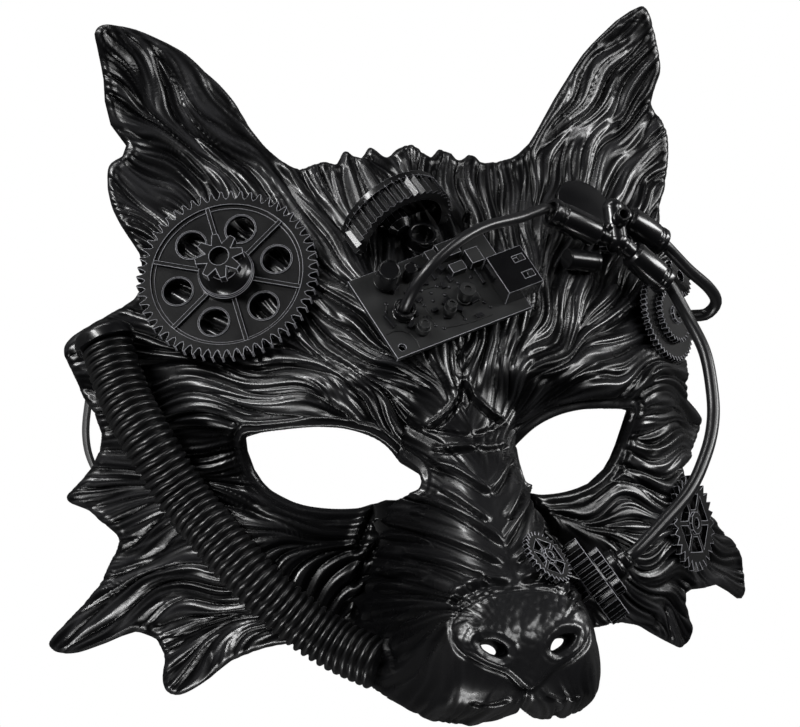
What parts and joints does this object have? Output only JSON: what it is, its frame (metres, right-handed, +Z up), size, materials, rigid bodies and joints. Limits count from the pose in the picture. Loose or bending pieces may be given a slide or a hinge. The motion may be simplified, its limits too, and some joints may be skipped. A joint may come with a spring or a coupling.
{
  "type": "wolf mask",
  "caption": "Hollow wolf half mask with ears, snout and eye holes, dressed with gears, a corrugated hose, a circuit board and cables, on an elastic head strap.",
  "frame": {"origin": "centre of the bounding box's underside, on the floor the mask lies on with its face up", "axes": "+Z up from the floor, out of the face; +Y toward the ears; +X toward the viewer's right, the side with the fittings"},
  "size_m": [0.23, 0.214, 0.1197],
  "materials": {
    "moulded_face_plastic": "gloss black injection moulding",
    "gear_plastic": "gloss black moulding with thin worn edges",
    "painted_metal": "black painted metal, semi gloss",
    "cable_rubber": "satin extruded sheath",
    "board_lacquer": "black lacquer over laminate",
    "strap_cloth": "woven elastic, matt"
  },
  "bodies": {
    "root": {"barrel_a": "painted_metal", "barrel_b": "painted_metal", "barrel_c": "painted_metal", "big_gear": "gear_plastic", "big_gear_post": "moulded_face_plastic", "board_foot_left": "moulded_face_plastic", "board_foot_right": "moulded_face_plastic", "box_connector": "painted_metal", "breathing_hose": "cable_rubber", "cable_socket": "painted_metal", "capacitor_large": "painted_metal", "capacitor_small": "painted_metal", "cheek_gear": "gear_plastic", "chip_long": "board_lacquer", "chip_middle": "board_lacquer", "chip_narrow": "board_lacquer", "chip_wide": "board_lacquer", "circuit_board": "board_lacquer", "coil": "board_lacquer", "cup_gear": "gear_plastic", "dark_cylinder": "moulded_face_plastic", "domed_disc": "moulded_face_plastic", "elastic_strap": "strap_cloth", "eye_tube": "painted_metal", "ferrule": "painted_metal", "fluted_gear": "gear_plastic", "forehead_cable": "cable_rubber", "hose_hood": "moulded_face_plastic", "long_cable": "cable_rubber", "loop_tube": "cable_rubber", "manifold": "painted_metal", "manifold_post": "moulded_face_plastic", "mask_shell": "moulded_face_plastic", "narrow_gear": "gear_plastic", "peg": "painted_metal", "pinion": "gear_plastic", "post_left": "board_lacquer", "post_right": "board_lacquer", "snout_gear": "gear_plastic", "stack_boss": "moulded_face_plastic", "stack_collar": "painted_metal", "stack_sleeve": "painted_metal", "strap_tab_left": "moulded_face_plastic", "strap_tab_right": "moulded_face_plastic", "temple_gear_back": "gear_plastic", "temple_gear_large": "gear_plastic", "temple_gear_small": "gear_plastic"}
  },
  "joints": []
}
